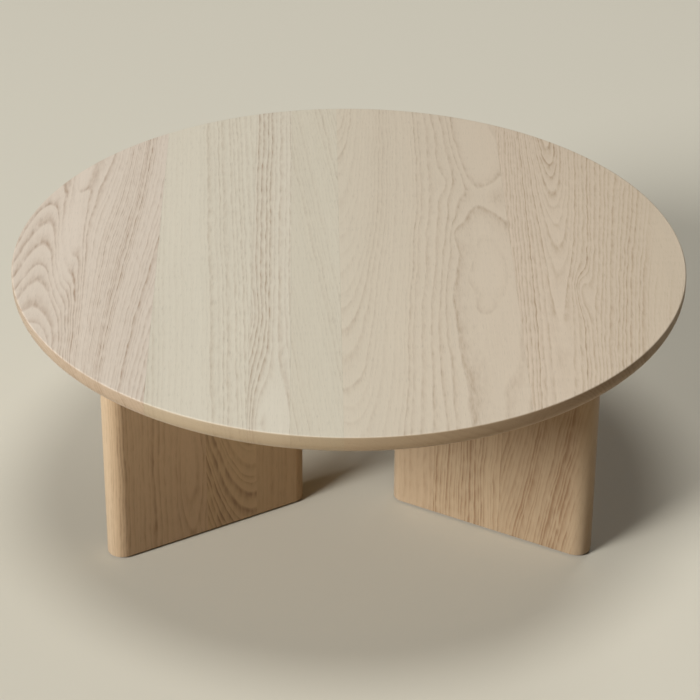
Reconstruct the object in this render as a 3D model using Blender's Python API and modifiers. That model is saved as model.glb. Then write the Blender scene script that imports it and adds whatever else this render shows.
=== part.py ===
"""Round coffee table in pale ash: a glued-up round top on three upright slab legs.

The slabs stand radially, a third of a turn apart. A steel plate is screwed to the upper end of each
slab, lies flush in a pocket in the underside of the top, and is bolted to threaded inserts there.
Lengths are in metres and +Z is up. The origin is on the floor under the middle of the top, and the
table's front faces -Y.
"""

import math

import bmesh
import bpy
from mathutils import Matrix, Vector

# The whole table
TABLE_HEIGHT = 0.396
TOP_DIAMETER = 1.000
TOP_THICKNESS = 0.030
TOP_EDGE_EASE = 0.002  # round on the upper arris
TOP_UNDER_ROUND = 0.019  # quarter round under the rim
TOP_RIM_FLAT = 0.003  # least upright band between those two rounds

# Seams of the top, measured from its middle towards +X. Its boards run along Y.
TOP_SEAMS = (-0.285, -0.144, -0.086, -0.014, 0.243)

# Slab legs. Each runs from the open core in the middle to a set distance inside the rim.
LEG_AZIMUTHS = {"left": 210.0, "right": 330.0, "rear": 90.0}
LEG_THICKNESS = 0.045
LEG_CORE_RADIUS = 0.085
TOP_OVERHANG = 0.085

# Seams of each leg, measured outwards from its inner end. Its boards stand upright.
LEG_SEAMS = {"left": (0.090, 0.175), "right": (0.077, 0.190), "rear": (0.083, 0.182)}
LEAST_BOARD = 0.020  # a seam that would leave a narrower board than this is left out

# Clearances and margins
FIT_GAP = 0.0003  # between pieces that seat on, or pass through, one another
GLUE_GAP = 0.0003  # between glued boards
CUT_MARGIN = 0.010  # how far a cutter reaches past the face that it opens

# Steel plate on the upper end of each slab
PLATE_THICKNESS = 0.005
PLATE_END_MARGIN = 0.045  # from the slab's end to the plate's end
PLATE_FLANGE = 0.0225  # how far the plate stands out on each side of the slab
PLATE_CORNER = 0.010

# Button-head bolts that hold the plate to the top, two in each flange
BOLT_DIAMETER = 0.006
BOLT_HEAD_DIAMETER = 0.0105
BOLT_HEAD_HEIGHT = 0.0033
BOLT_HEAD_BAND = 0.0010  # upright band round the head, next to its seat
BOLT_SPREAD = 0.75  # spacing along the plate, as a share of the plate's length
BOLT_TIP_RECESS = 0.002  # how far the bolt stops short of the insert's far end
BOLT_CHAMFER = 0.0006

# Threaded inserts in the top
INSERT_LENGTH = 0.013
INSERT_WALL = 0.0017
INSERT_CHAMFER = 0.0006

# Countersunk screws that hold the plate to the slab
SCREW_DIAMETER = 0.007
SCREW_HEAD_DIAMETER = 0.0125
SCREW_HEAD_BAND = 0.0004  # upright band round the head's upper face
SCREW_LENGTH = 0.060
SCREW_TIP = 0.007
SCREW_POINT = 0.001  # width of the blunt point
SCREW_SPREAD = 0.45  # spacing along the plate, as a share of the plate's length

# Hexagon sockets in the heads of bolts and screws
SOCKET_WIDTH = 0.004
SOCKET_DEPTH = 0.002

# Pinned glides that carry the table on the floor
GLIDE_HEIGHT = 0.003
GLIDE_DIAMETER = 0.030
GLIDE_CHAMFER = 0.0008
GLIDE_PIN_DIAMETER = 0.004
GLIDE_PIN_LENGTH = 0.016
GLIDE_INSET = 0.045  # from the slab's end to the glide's middle

# Facets of the round shapes
TOP_FACETS = 96
TOP_EASE_FACETS = 2
TOP_UNDER_FACETS = 5
LEG_END_FACETS = 36
CORNER_FACETS = 4
HARDWARE_FACETS = 12
BOLT_DOME_FACETS = 2
GLIDE_FACETS = 20
HEXAGON = 6
SHARP_ANGLE = math.radians(35)
MERGE_DISTANCE = 1e-5

# Colours are linear RGB
TOP_TONES = (
    (0.615, 0.510, 0.415),
    (0.625, 0.575, 0.465),
    (0.580, 0.520, 0.420),
    (0.590, 0.540, 0.430),
    (0.585, 0.505, 0.400),
    (0.590, 0.490, 0.385),
)
LEG_TONES = ((0.455, 0.330, 0.215), (0.490, 0.360, 0.240), (0.520, 0.385, 0.265))
WOOD_ROUGHNESS = 0.55

# Values that follow from the sizes above
TOP_RADIUS = TOP_DIAMETER / 2
UNDERSIDE = TABLE_HEIGHT - TOP_THICKNESS
LEG_LENGTH = TOP_RADIUS - TOP_OVERHANG - LEG_CORE_RADIUS
LEG_MIDDLE = LEG_CORE_RADIUS + LEG_LENGTH / 2
LEG_FOOT = GLIDE_HEIGHT
LEG_HEAD = UNDERSIDE - FIT_GAP
PLATE_LENGTH = LEG_LENGTH - 2 * PLATE_END_MARGIN
PLATE_WIDTH = LEG_THICKNESS + 2 * PLATE_FLANGE
PLATE_TOP = UNDERSIDE + PLATE_THICKNESS
POCKET_TOP = PLATE_TOP + FIT_GAP
BOLT_ALONG = PLATE_LENGTH * BOLT_SPREAD / 2
BOLT_ACROSS = (LEG_THICKNESS + PLATE_FLANGE) / 2
BOLT_SEAT = UNDERSIDE - FIT_GAP
INSERT_TOP = POCKET_TOP + INSERT_LENGTH
BOLT_LENGTH = INSERT_TOP - BOLT_TIP_RECESS - BOLT_SEAT
INSERT_BORE = BOLT_DIAMETER / 2 + FIT_GAP
INSERT_RADIUS = INSERT_BORE + INSERT_WALL
SCREW_ALONG = PLATE_LENGTH * SCREW_SPREAD / 2
GLIDE_ALONG = LEG_LENGTH / 2 - GLIDE_INSET
GLIDE_PIN_TOP = LEG_FOOT + GLIDE_PIN_LENGTH


def clear_scene():
    for obj in list(bpy.data.objects):
        bpy.data.objects.remove(obj)


def new_collection(name, parent):
    collection = bpy.data.collections.new(name)
    parent.children.link(collection)
    return collection


def new_material(name, colour, roughness, metallic=0.0):
    material = bpy.data.materials.new(name)
    material.use_nodes = True
    shader = material.node_tree.nodes["Principled BSDF"]
    shader.inputs["Base Color"].default_value = (*colour, 1.0)
    shader.inputs["Roughness"].default_value = roughness
    shader.inputs["Metallic"].default_value = metallic
    return material


clear_scene()
parts = new_collection("round_coffee_table", bpy.context.scene.collection)
cutters = new_collection("cutters", bpy.context.scene.collection)
top_cuts = new_collection("top_cuts", cutters)

steel = new_material("plate_steel", (0.055, 0.055, 0.058), 0.45, 0.9)
black_oxide = new_material("bolt_black_oxide", (0.030, 0.030, 0.032), 0.40, 0.9)
zinc = new_material("zinc_plate", (0.560, 0.550, 0.520), 0.35, 1.0)
nylon = new_material("glide_nylon", (0.120, 0.105, 0.090), 0.60)


# Shapes


def shade(mesh):
    """Smooth faces, with sharp edges where they meet at an angle."""
    mesh.shade_smooth()
    mesh.set_sharp_from_angle(angle=SHARP_ANGLE)


def to_mesh(shape, name):
    mesh = bpy.data.meshes.new(name)
    shape.to_mesh(mesh)
    shape.free()
    shade(mesh)
    return mesh


def applied_mesh(obj, name):
    """The object's mesh with its modifiers applied. The object itself goes."""
    graph = bpy.context.evaluated_depsgraph_get()
    mesh = bpy.data.meshes.new_from_object(obj.evaluated_get(graph))
    mesh.name = name
    shade(mesh)
    bpy.data.objects.remove(obj)
    return mesh


def box(low, high):
    shape = bmesh.new()
    bmesh.ops.create_cube(shape, size=1.0)
    bmesh.ops.scale(shape, vec=Vector(high) - Vector(low), verts=shape.verts)
    bmesh.ops.translate(shape, vec=(Vector(high) + Vector(low)) / 2, verts=shape.verts)
    return shape


def cylinder(radius, bottom, top, facets):
    shape = bmesh.new()
    bmesh.ops.create_cone(
        shape, cap_ends=True, segments=facets, radius1=radius, radius2=radius, depth=top - bottom
    )
    bmesh.ops.translate(shape, vec=(0, 0, (bottom + top) / 2), verts=shape.verts)
    return shape


def round_edges(shape, edges, radius, facets):
    bmesh.ops.bevel(shape, geom=edges, offset=radius, segments=facets, profile=0.5, affect="EDGES")


def rim_edges(shape, side):
    """The edges round the upper (side 1) or the lower (side -1) face of a disc."""
    cap = max(shape.faces, key=lambda face: side * face.calc_center_median().z)
    return list(cap.edges)


def rounded_plate(grow, bottom, top):
    """A plate with round corners, centred on the origin. grow makes its pocket."""
    half_length = PLATE_LENGTH / 2 + grow
    half_width = PLATE_WIDTH / 2 + grow
    shape = box((-half_length, -half_width, bottom), (half_length, half_width, top))
    upright = [e for e in shape.edges if e.verts[0].co.xy == e.verts[1].co.xy]
    round_edges(shape, upright, PLATE_CORNER + grow, CORNER_FACETS)
    return shape


def turned_mesh(name, profile, facets, closed=False):
    """Turns a profile of (radius, height) points, listed down the outer side, about the Z axis."""
    points = [(radius, 0, height) for radius, height in profile]
    edges = [(i, i + 1) for i in range(len(points) - 1)]
    if closed:
        edges.append((len(points) - 1, 0))
    outline = bpy.data.meshes.new(name + "_profile")
    outline.from_pydata(points, edges, [])
    lathe = bpy.data.objects.new(name + "_lathe", outline)
    cutters.objects.link(lathe)
    screw = lathe.modifiers.new("turn", "SCREW")
    screw.steps = screw.render_steps = facets
    screw.use_merge_vertices = True
    screw.merge_threshold = MERGE_DISTANCE
    return applied_mesh(lathe, name)


def socketed_mesh(name, profile, socket_bottom, socket_top):
    """A turned fastener with a hexagon socket between two heights."""
    blank = bpy.data.objects.new(name, turned_mesh(name + "_blank", profile, HARDWARE_FACETS))
    cutters.objects.link(blank)
    key_radius = SOCKET_WIDTH / 2 / math.cos(math.pi / HEXAGON)
    key_mesh = to_mesh(cylinder(key_radius, socket_bottom, socket_top, HEXAGON), name + "_key")
    key = add_cutter(name + "_key", key_mesh, cutters)
    socket = blank.modifiers.new("socket", "BOOLEAN")
    socket.operation = "DIFFERENCE"
    socket.object = key
    mesh = applied_mesh(blank, name)
    bpy.data.objects.remove(key)
    return mesh


# Objects and their cuts


def add_part(name, mesh, material, parent=None, place=(0, 0, 0)):
    part = bpy.data.objects.new(name, mesh)
    parts.objects.link(part)
    if not mesh.materials:
        mesh.materials.append(material)
    part.parent = parent
    part.location = place
    return part


def add_cutter(name, mesh, collection, parent=None, place=(0, 0, 0)):
    cutter = bpy.data.objects.new(name, mesh)
    collection.objects.link(cutter)
    cutter.hide_render = True
    cutter.display_type = "WIRE"
    cutter.parent = parent
    cutter.location = place
    return cutter


def keep_inside(part, form):
    shape = part.modifiers.new("shape", "BOOLEAN")
    shape.operation = "INTERSECT"
    shape.object = form


def cut_all(part, collection):
    cuts = part.modifiers.new("cuts", "BOOLEAN")
    cuts.operation = "DIFFERENCE"
    cuts.operand_type = "COLLECTION"
    cuts.collection = collection


def board_spans(low, high, seams):
    """The (start, end) of each board between two outer limits, with half a glue gap at each seam."""
    kept = []
    for seam in sorted(seams):
        if max([low, *kept]) + LEAST_BOARD <= seam <= high - LEAST_BOARD:
            kept.append(seam)
    starts = [low - CUT_MARGIN] + [seam + GLUE_GAP / 2 for seam in kept]
    ends = [seam - GLUE_GAP / 2 for seam in kept] + [high + CUT_MARGIN]
    return list(zip(starts, ends))


def add_board(name, low, high, tone, form, cuts, parent=None):
    """One board: a plain plank, kept inside the form of its glue-up and cut for the fittings."""
    ash = new_material(name + "_ash", tone, WOOD_ROUGHNESS)
    board = add_part(name, to_mesh(box(low, high), name), ash, parent)
    keep_inside(board, form)
    cut_all(board, cuts)


# The top and the slabs as whole forms


def top_form_mesh():
    """A disc with a small round on its upper edge and a large one under the rim."""
    shape = cylinder(TOP_RADIUS, UNDERSIDE, TABLE_HEIGHT, TOP_FACETS)
    under = min(TOP_UNDER_ROUND, TOP_THICKNESS - TOP_EDGE_EASE - TOP_RIM_FLAT)
    round_edges(shape, rim_edges(shape, 1), TOP_EDGE_EASE, TOP_EASE_FACETS)
    round_edges(shape, rim_edges(shape, -1), under, TOP_UNDER_FACETS)
    return to_mesh(shape, "top_form")


def leg_form_mesh():
    """A slab with half-round upright ends: a cylinder, pulled apart along its middle."""
    half_facet = math.pi / LEG_END_FACETS
    radius = LEG_THICKNESS / 2
    shape = cylinder(radius / math.cos(half_facet), LEG_FOOT, LEG_HEAD, LEG_END_FACETS)
    bmesh.ops.rotate(shape, matrix=Matrix.Rotation(half_facet, 3, "Z"), verts=shape.verts)
    for vert in shape.verts:
        vert.co.x += math.copysign(LEG_LENGTH / 2 - radius, vert.co.x)
    bmesh.ops.translate(shape, vec=(LEG_MIDDLE, 0, 0), verts=shape.verts)
    return to_mesh(shape, "leg_form")


# Profiles of the turned fittings


def bolt_profile():
    """From the tip down to the head, with the head's seat at height 0."""
    radius = BOLT_DIAMETER / 2
    head = BOLT_HEAD_DIAMETER / 2
    dome = BOLT_HEAD_HEIGHT - BOLT_HEAD_BAND
    steps = [math.pi / 2 * i / BOLT_DOME_FACETS for i in range(BOLT_DOME_FACETS + 1)]
    rounded = [
        (head - dome * (1 - math.cos(a)), -BOLT_HEAD_BAND - dome * math.sin(a)) for a in steps
    ]
    return [
        (0, BOLT_LENGTH),
        (radius - BOLT_CHAMFER, BOLT_LENGTH),
        (radius, BOLT_LENGTH - BOLT_CHAMFER),
        (radius, 0),
        (head, 0),
        *rounded,
        (0, -BOLT_HEAD_HEIGHT),
    ]


def insert_profile():
    """A closed outline of the sleeve's wall, with its lower end at height 0."""
    return [
        (INSERT_BORE, INSERT_LENGTH),
        (INSERT_RADIUS - INSERT_CHAMFER, INSERT_LENGTH),
        (INSERT_RADIUS, INSERT_LENGTH - INSERT_CHAMFER),
        (INSERT_RADIUS, 0),
        (INSERT_BORE, 0),
    ]


def screw_profile(grow=0.0, rise=0.0):
    """From the head, flush at height 0, down to the point. grow and rise make its hole."""
    radius = SCREW_DIAMETER / 2 + grow
    head = SCREW_HEAD_DIAMETER / 2 + grow
    return [
        (0, rise),
        (head, rise),
        (head, -SCREW_HEAD_BAND - grow),
        (radius, -SCREW_HEAD_BAND - grow - (head - radius)),
        (radius, SCREW_TIP - SCREW_LENGTH),
        (SCREW_POINT / 2 + grow, -SCREW_LENGTH - grow),
        (0, -SCREW_LENGTH - grow),
    ]


def glide_profile():
    """From the pin's upper end down to the floor."""
    pin = GLIDE_PIN_DIAMETER / 2
    disc = GLIDE_DIAMETER / 2
    seat = LEG_FOOT - FIT_GAP
    chamfer = min(GLIDE_CHAMFER, seat / 2)
    return [
        (0, GLIDE_PIN_TOP),
        (pin, GLIDE_PIN_TOP - pin),
        (pin, seat),
        (disc, seat),
        (disc, chamfer),
        (disc - chamfer, 0),
        (0, 0),
    ]


# Meshes that the three legs share


leg_mesh = leg_form_mesh()
bolt_mesh = socketed_mesh(
    "bolt", bolt_profile(), -BOLT_HEAD_HEIGHT - CUT_MARGIN, SOCKET_DEPTH - BOLT_HEAD_HEIGHT
)
bolt_hole = cylinder(INSERT_BORE, UNDERSIDE - CUT_MARGIN, PLATE_TOP + CUT_MARGIN, HARDWARE_FACETS)
bolt_hole_mesh = to_mesh(bolt_hole, "bolt_hole")
insert_mesh = turned_mesh("insert", insert_profile(), HARDWARE_FACETS, closed=True)
insert_hole = cylinder(
    INSERT_RADIUS + FIT_GAP, UNDERSIDE - CUT_MARGIN, INSERT_TOP + FIT_GAP, HARDWARE_FACETS
)
insert_hole_mesh = to_mesh(insert_hole, "insert_hole")
screw_mesh = socketed_mesh("screw", screw_profile(), -SOCKET_DEPTH, CUT_MARGIN)
screw_hole_mesh = turned_mesh("screw_hole", screw_profile(FIT_GAP, CUT_MARGIN), HARDWARE_FACETS)
glide_mesh = turned_mesh("glide", glide_profile(), GLIDE_FACETS)
pin_hole = cylinder(
    GLIDE_PIN_DIAMETER / 2 + FIT_GAP, LEG_FOOT - CUT_MARGIN, GLIDE_PIN_TOP + FIT_GAP, GLIDE_FACETS
)
pin_hole_mesh = to_mesh(pin_hole, "pin_hole")
pocket_mesh = to_mesh(rounded_plate(FIT_GAP, UNDERSIDE - CUT_MARGIN, POCKET_TOP), "plate_pocket")


# The table, leg by leg and then its top


def fit_plate(side, frame, plate_cuts):
    """The plate on a slab's upper end, and its pocket in the top."""
    place = (LEG_MIDDLE, 0, 0)
    mesh = to_mesh(rounded_plate(0, UNDERSIDE, PLATE_TOP), side + "_plate")
    plate = add_part(side + "_plate", mesh, steel, frame, place)
    cut_all(plate, plate_cuts)
    add_cutter(side + "_plate_pocket", pocket_mesh, top_cuts, frame, place)


def fit_bolts(side, frame, plate_cuts):
    """Bolts up through the plate's flanges, each into its insert in the top."""
    places = [(a, b) for a in (-BOLT_ALONG, BOLT_ALONG) for b in (-BOLT_ACROSS, BOLT_ACROSS)]
    for number, (along, across) in enumerate(places, 1):
        x = LEG_MIDDLE + along
        add_part(f"{side}_bolt_{number}", bolt_mesh, black_oxide, frame, (x, across, BOLT_SEAT))
        add_part(f"{side}_insert_{number}", insert_mesh, zinc, frame, (x, across, POCKET_TOP))
        add_cutter(f"{side}_bolt_hole_{number}", bolt_hole_mesh, plate_cuts, frame, (x, across, 0))
        add_cutter(f"{side}_insert_hole_{number}", insert_hole_mesh, top_cuts, frame, (x, across, 0))


def fit_screws(side, frame, plate_cuts, leg_cuts):
    """Countersunk screws down through the plate into the slab."""
    for number, along in enumerate((-SCREW_ALONG, SCREW_ALONG), 1):
        place = (LEG_MIDDLE + along, 0, PLATE_TOP)
        add_part(f"{side}_screw_{number}", screw_mesh, zinc, frame, place)
        add_cutter(f"{side}_plate_sink_{number}", screw_hole_mesh, plate_cuts, frame, place)
        add_cutter(f"{side}_screw_hole_{number}", screw_hole_mesh, leg_cuts, frame, place)


def fit_glides(side, frame, leg_cuts):
    """A glide near each end of the slab, pinned into its lower end."""
    for number, along in enumerate((-GLIDE_ALONG, GLIDE_ALONG), 1):
        place = (LEG_MIDDLE + along, 0, 0)
        add_part(f"{side}_glide_{number}", glide_mesh, nylon, frame, place)
        add_cutter(f"{side}_pin_hole_{number}", pin_hole_mesh, leg_cuts, frame, place)


def make_leg(side):
    """A slab and its fittings, in a frame whose X axis runs outwards along the slab."""
    frame = bpy.data.objects.new(side + "_leg_frame", None)
    parts.objects.link(frame)
    frame.rotation_euler.z = math.radians(LEG_AZIMUTHS[side])
    plate_cuts = new_collection(side + "_plate_cuts", cutters)
    leg_cuts = new_collection(side + "_leg_cuts", cutters)
    fit_plate(side, frame, plate_cuts)
    fit_bolts(side, frame, plate_cuts)
    fit_screws(side, frame, plate_cuts, leg_cuts)
    fit_glides(side, frame, leg_cuts)

    form = add_cutter(side + "_leg_form", leg_mesh, cutters, frame)
    half = LEG_THICKNESS / 2 + CUT_MARGIN
    for number, (start, end) in enumerate(board_spans(0, LEG_LENGTH, LEG_SEAMS[side]), 1):
        low = (LEG_CORE_RADIUS + start, -half, LEG_FOOT - CUT_MARGIN)
        high = (LEG_CORE_RADIUS + end, half, LEG_HEAD + CUT_MARGIN)
        tone = LEG_TONES[(number - 1) % len(LEG_TONES)]
        add_board(f"{side}_leg_board_{number}", low, high, tone, form, leg_cuts, frame)


def make_top():
    """The boards of the top, each a strip of the whole disc."""
    form = add_cutter("top_form", top_form_mesh(), cutters)
    reach = TOP_RADIUS + CUT_MARGIN
    for number, (start, end) in enumerate(board_spans(-TOP_RADIUS, TOP_RADIUS, TOP_SEAMS), 1):
        low = (start, -reach, UNDERSIDE - CUT_MARGIN)
        high = (end, reach, TABLE_HEIGHT + CUT_MARGIN)
        tone = TOP_TONES[(number - 1) % len(TOP_TONES)]
        add_board(f"top_board_{number}", low, high, tone, form, top_cuts)


for leg_side in LEG_AZIMUTHS:
    make_leg(leg_side)
make_top()
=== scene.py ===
# %% [markdown]
# # A round coffee table in pale ash
#
# The table is a thick round top on three upright slabs. The top and the slabs are glued up from ash
# boards, so nearly everything that one sees is wood. The CAD frame already holds each piece at its
# real place and size. Here the boards get a finer form, each board gets its own grain, and the steel
# and nylon fittings underneath get their finishes.

import math

import bmesh
import bpy
from mathutils import Matrix, Quaternion, Vector


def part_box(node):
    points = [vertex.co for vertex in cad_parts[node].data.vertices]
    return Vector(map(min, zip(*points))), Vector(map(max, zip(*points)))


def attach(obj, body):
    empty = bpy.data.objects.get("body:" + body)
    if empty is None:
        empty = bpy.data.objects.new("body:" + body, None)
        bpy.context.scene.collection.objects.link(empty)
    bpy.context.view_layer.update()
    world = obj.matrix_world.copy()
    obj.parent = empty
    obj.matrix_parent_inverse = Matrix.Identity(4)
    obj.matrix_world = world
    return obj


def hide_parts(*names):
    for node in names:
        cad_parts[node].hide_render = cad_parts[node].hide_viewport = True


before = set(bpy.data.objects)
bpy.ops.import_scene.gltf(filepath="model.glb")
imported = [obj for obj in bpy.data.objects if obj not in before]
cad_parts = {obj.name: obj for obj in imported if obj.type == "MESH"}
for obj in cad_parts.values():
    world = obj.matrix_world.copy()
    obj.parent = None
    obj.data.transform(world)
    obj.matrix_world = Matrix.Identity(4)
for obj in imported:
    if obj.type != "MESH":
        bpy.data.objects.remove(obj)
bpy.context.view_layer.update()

# %% [markdown]
# ## The camera
#
# The photograph was taken from a little above, with a long lens, so the round top shows as a wide
# ellipse with little perspective. The camera's place and focal length were worked out from that
# ellipse and from the corners of the slabs. A Track To constraint could aim the camera, but turning
# its viewing axis towards a point leaves nothing live in the scene, and a small roll is then added.

# %% Place the camera
PICTURE_WIDTH = 700
FOCAL_PIXELS = 2701
SENSOR_WIDTH = 36.0
CAMERA_PLACE = Vector((-0.0612, -3.5206, 2.3470))
CAMERA_TARGET = Vector((0.0033, 0.0529, 0.2000))
CAMERA_ROLL = math.radians(0.353)


def add_to_scene(name, data):
    """An object in the scene, for a camera, a lamp or a mesh."""
    item = bpy.data.objects.new(name, data)
    bpy.context.scene.collection.objects.link(item)
    return item


camera_data = bpy.data.cameras.new("camera")
camera_data.sensor_width = SENSOR_WIDTH
camera_data.lens = SENSOR_WIDTH * FOCAL_PIXELS / PICTURE_WIDTH
camera = add_to_scene("camera", camera_data)
camera.location = CAMERA_PLACE
camera.rotation_mode = "QUATERNION"
aim = (CAMERA_TARGET - CAMERA_PLACE).to_track_quat("-Z", "Y")
camera.rotation_quaternion = aim @ Quaternion((0, 0, 1), CAMERA_ROLL)
bpy.context.scene.camera = camera
print("lens", round(camera_data.lens, 1), "mm")

# %% [markdown]
# ## Measuring the frame
#
# Every new piece takes its size from the CAD node that it stands for. A node keeps its place in its
# mesh, so the reach of a board in any direction is the spread of its vertices along that direction.
# That also works on the slabs, which stand at an angle, where an upright box would not fit.

# %% Measure the top and the slabs
TOP_BOARDS = [f"top_board_{number}" for number in range(1, 7)]
LEG_AZIMUTHS = {"left": 210, "right": 330, "rear": 90}
SLAB_PIECES = {"leg_board": 3, "bolt": 4, "insert": 4, "screw": 2, "glide": 2}
UP = Vector((0, 0, 1))
ACROSS_TOP = Vector((1, 0, 0))


def nodes_of(side, kind):
    """The names of a slab's CAD nodes of one kind."""
    return [f"{side}_{kind}_{number}" for number in range(1, SLAB_PIECES[kind] + 1)]


def reach(node, direction):
    """The lowest and the highest point of a CAD node along a direction."""
    heights = [vert.co.dot(direction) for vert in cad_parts[node].data.vertices]
    return min(heights), max(heights)


def outwards(side):
    """The direction in which a slab runs away from the middle of the table."""
    turn = math.radians(LEG_AZIMUTHS[side])
    return Vector((math.cos(turn), math.sin(turn), 0))


def seams(boards, direction):
    """The middle of each glue line between neighbouring boards."""
    ends = [reach(board, direction) for board in boards]
    return [(one[1] + two[0]) / 2 for one, two in zip(ends, ends[1:])]


underside, table_top = reach("top_board_1", UP)
top_radius = reach("top_board_6", ACROSS_TOP)[1]
leg_foot, leg_head = reach("left_leg_board_1", UP)
leg_start = reach("rear_leg_board_1", outwards("rear"))[0]
leg_end = reach("rear_leg_board_3", outwards("rear"))[1]
leg_thickness = 2 * reach("rear_leg_board_1", ACROSS_TOP)[1]
print("top", round(2 * top_radius, 3), "across,", round(table_top - underside, 3), "thick")
print("slabs", round(leg_end - leg_start, 3), "long,", round(leg_thickness, 3), "thick")

# %% [markdown]
# ## Finishing a piece
#
# A bmesh is only a shape. To show, it has to become an object that rides on a CAD body and stands
# for the CAD nodes that it replaces. Faces are shaded smooth, with sharp edges where two faces meet
# at more than a set angle, so a round end stays soft and a sawn edge stays crisp.

# %% Helpers that turn a shape into a piece
SHARP_ANGLE = math.radians(30)


def shade(mesh):
    """Gives a mesh smooth faces and crisp edges."""
    mesh.shade_smooth()
    mesh.set_sharp_from_angle(angle=SHARP_ANGLE)


def add_object(name, shape):
    """Makes a shaded object of a bmesh, and frees the bmesh."""
    mesh = bpy.data.meshes.new(name)
    shape.to_mesh(mesh)
    shape.free()
    shade(mesh)
    return add_to_scene(name, mesh)


def put_in_place(piece, material_slot, *nodes):
    """The piece rides on the table and stands for these CAD nodes."""
    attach(piece, "root")
    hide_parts(*nodes)


def triangles(piece):
    return sum(len(face.vertices) - 2 for face in piece.data.polygons)


# %% [markdown]
# ## Sawing boards from a whole form
#
# The real top was glued up first and then cut round, so its boards share one smooth rim. The same
# order works here: one whole form is made, and each board is what two straight cuts leave of it. A
# Boolean with a box would do this too, but bisect_plane is quicker and leaves clean, flat faces. The
# open side of each cut is then closed with one face, so that every board is a solid.

# %% Saw one board out of a form
GLUE_LINE = 0.00008
SAW_PRECISION = 1e-7


def saw(shape, place, direction):
    """Keeps the part of a shape that lies before a plane, and closes the cut."""
    geometry = shape.verts[:] + shape.edges[:] + shape.faces[:]
    cut = bmesh.ops.bisect_plane(
        shape,
        geom=geometry,
        dist=SAW_PRECISION,
        plane_co=place,
        plane_no=direction,
        clear_outer=True,
    )
    edges = [item for item in cut["geom_cut"] if isinstance(item, bmesh.types.BMEdge)]
    bmesh.ops.holes_fill(shape, edges=edges)


def saw_boards(form, cuts, direction):
    """One closed shape for each board between the glue lines of a form."""
    boards = []
    for number in range(len(cuts) + 1):
        board = form.copy()
        if number > 0:
            saw(board, direction * (cuts[number - 1] + GLUE_LINE / 2), -direction)
        if number < len(cuts):
            saw(board, direction * (cuts[number] - GLUE_LINE / 2), direction)
        bmesh.ops.recalc_face_normals(board, faces=board.faces)
        boards.append(board)
    form.free()
    return boards


# %% [markdown]
# ## The round top
#
# The top is a disc with a small round on its upper edge and a large round under the rim, which makes
# it look lighter than it is. A profile could be spun, but a spun disc has a fan of thin triangles in
# the middle. A capped cylinder keeps its two flat faces whole, and beveling their rims gives both
# rounds. A narrow inset then keeps the shading of the flat faces flat.

# %% Make the top's form
RIM_STEPS = 288
EASE_RADIUS = 0.002
EASE_STEPS = 4
UNDER_RADIUS = 0.019
UNDER_STEPS = 12
SHADING_MARGIN = 0.0015


def cylinder(radius, bottom, top, steps):
    shape = bmesh.new()
    bmesh.ops.create_cone(
        shape, cap_ends=True, segments=steps, radius1=radius, radius2=radius, depth=top - bottom
    )
    bmesh.ops.translate(shape, vec=(0, 0, (bottom + top) / 2), verts=shape.verts)
    return shape


def end_face(shape, side):
    """The flat face at the top (side 1) or the bottom (side -1) of a shape."""
    return max(shape.faces, key=lambda face: side * face.calc_center_median().z)


def round_edges(shape, edges, radius, steps):
    bmesh.ops.bevel(
        shape, geom=edges, offset=radius, segments=steps, profile=0.5, affect="EDGES", material=-1
    )


def round_end(shape, side, radius, steps):
    """Rounds the edge of one flat end, and keeps the shading of that end flat."""
    round_edges(shape, list(end_face(shape, side).edges), radius, steps)
    bmesh.ops.inset_individual(shape, faces=[end_face(shape, side)], thickness=SHADING_MARGIN)


top_form = cylinder(top_radius, underside, table_top, RIM_STEPS)
round_end(top_form, 1, EASE_RADIUS, EASE_STEPS)
round_end(top_form, -1, UNDER_RADIUS, UNDER_STEPS)
print("top form", len(top_form.faces), "faces")

# %% [markdown]
# ## Pockets in the top
#
# Underneath, each steel plate lies flush in a pocket, and its bolts go up into threaded inserts. The
# pockets follow the plates' own outline, a little larger, and the boards are cut for them with a
# Boolean, because a pocket crosses several boards at an angle. The cutters are removed afterwards.

# %% Make the cutters
POCKET_GAP = 0.0003
PLATE_CORNER = 0.010
PLATE_CORNER_STEPS = 8
HOLE_STEPS = 32
CUT_MARGIN = 0.010


def across(side):
    """The level direction square to a slab."""
    return UP.cross(outwards(side))


def to_leg(shape, side, along):
    """Turns a shape to a slab's direction and moves it outwards along the slab."""
    turn = Matrix.Rotation(math.radians(LEG_AZIMUTHS[side]), 3, "Z")
    bmesh.ops.rotate(shape, matrix=turn, verts=shape.verts)
    bmesh.ops.translate(shape, vec=outwards(side) * along, verts=shape.verts)


def plate_form(side, gap, bottom, top):
    """The outline of a slab's plate, grown by a gap and given a height, along +X at the middle."""
    near, far = reach(f"{side}_plate", outwards(side))
    width = 2 * (reach(f"{side}_plate", across(side))[1] + gap)
    shape = bmesh.new()
    bmesh.ops.create_cube(shape, size=1.0)
    bmesh.ops.scale(shape, vec=(far - near + 2 * gap, width, top - bottom), verts=shape.verts)
    bmesh.ops.translate(shape, vec=(0, 0, (top + bottom) / 2), verts=shape.verts)
    upright = [edge for edge in shape.edges if edge.verts[0].co.xy == edge.verts[1].co.xy]
    round_edges(shape, upright, PLATE_CORNER + gap, PLATE_CORNER_STEPS)
    return shape


def to_plate(shape, side):
    """Turns a shape to a slab's direction and moves it to the middle of the slab's plate."""
    to_leg(shape, side, sum(reach(f"{side}_plate", outwards(side))) / 2)


def pocket_cutter(side):
    top = reach(f"{side}_plate", UP)[1] + POCKET_GAP
    shape = plate_form(side, POCKET_GAP, underside - CUT_MARGIN, top)
    to_plate(shape, side)
    return add_object(f"{side}_pocket_cutter", shape)


def half_width(node):
    """The largest radius of a turned CAD piece."""
    low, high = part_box(node)
    return (high.x - low.x) / 2


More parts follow.
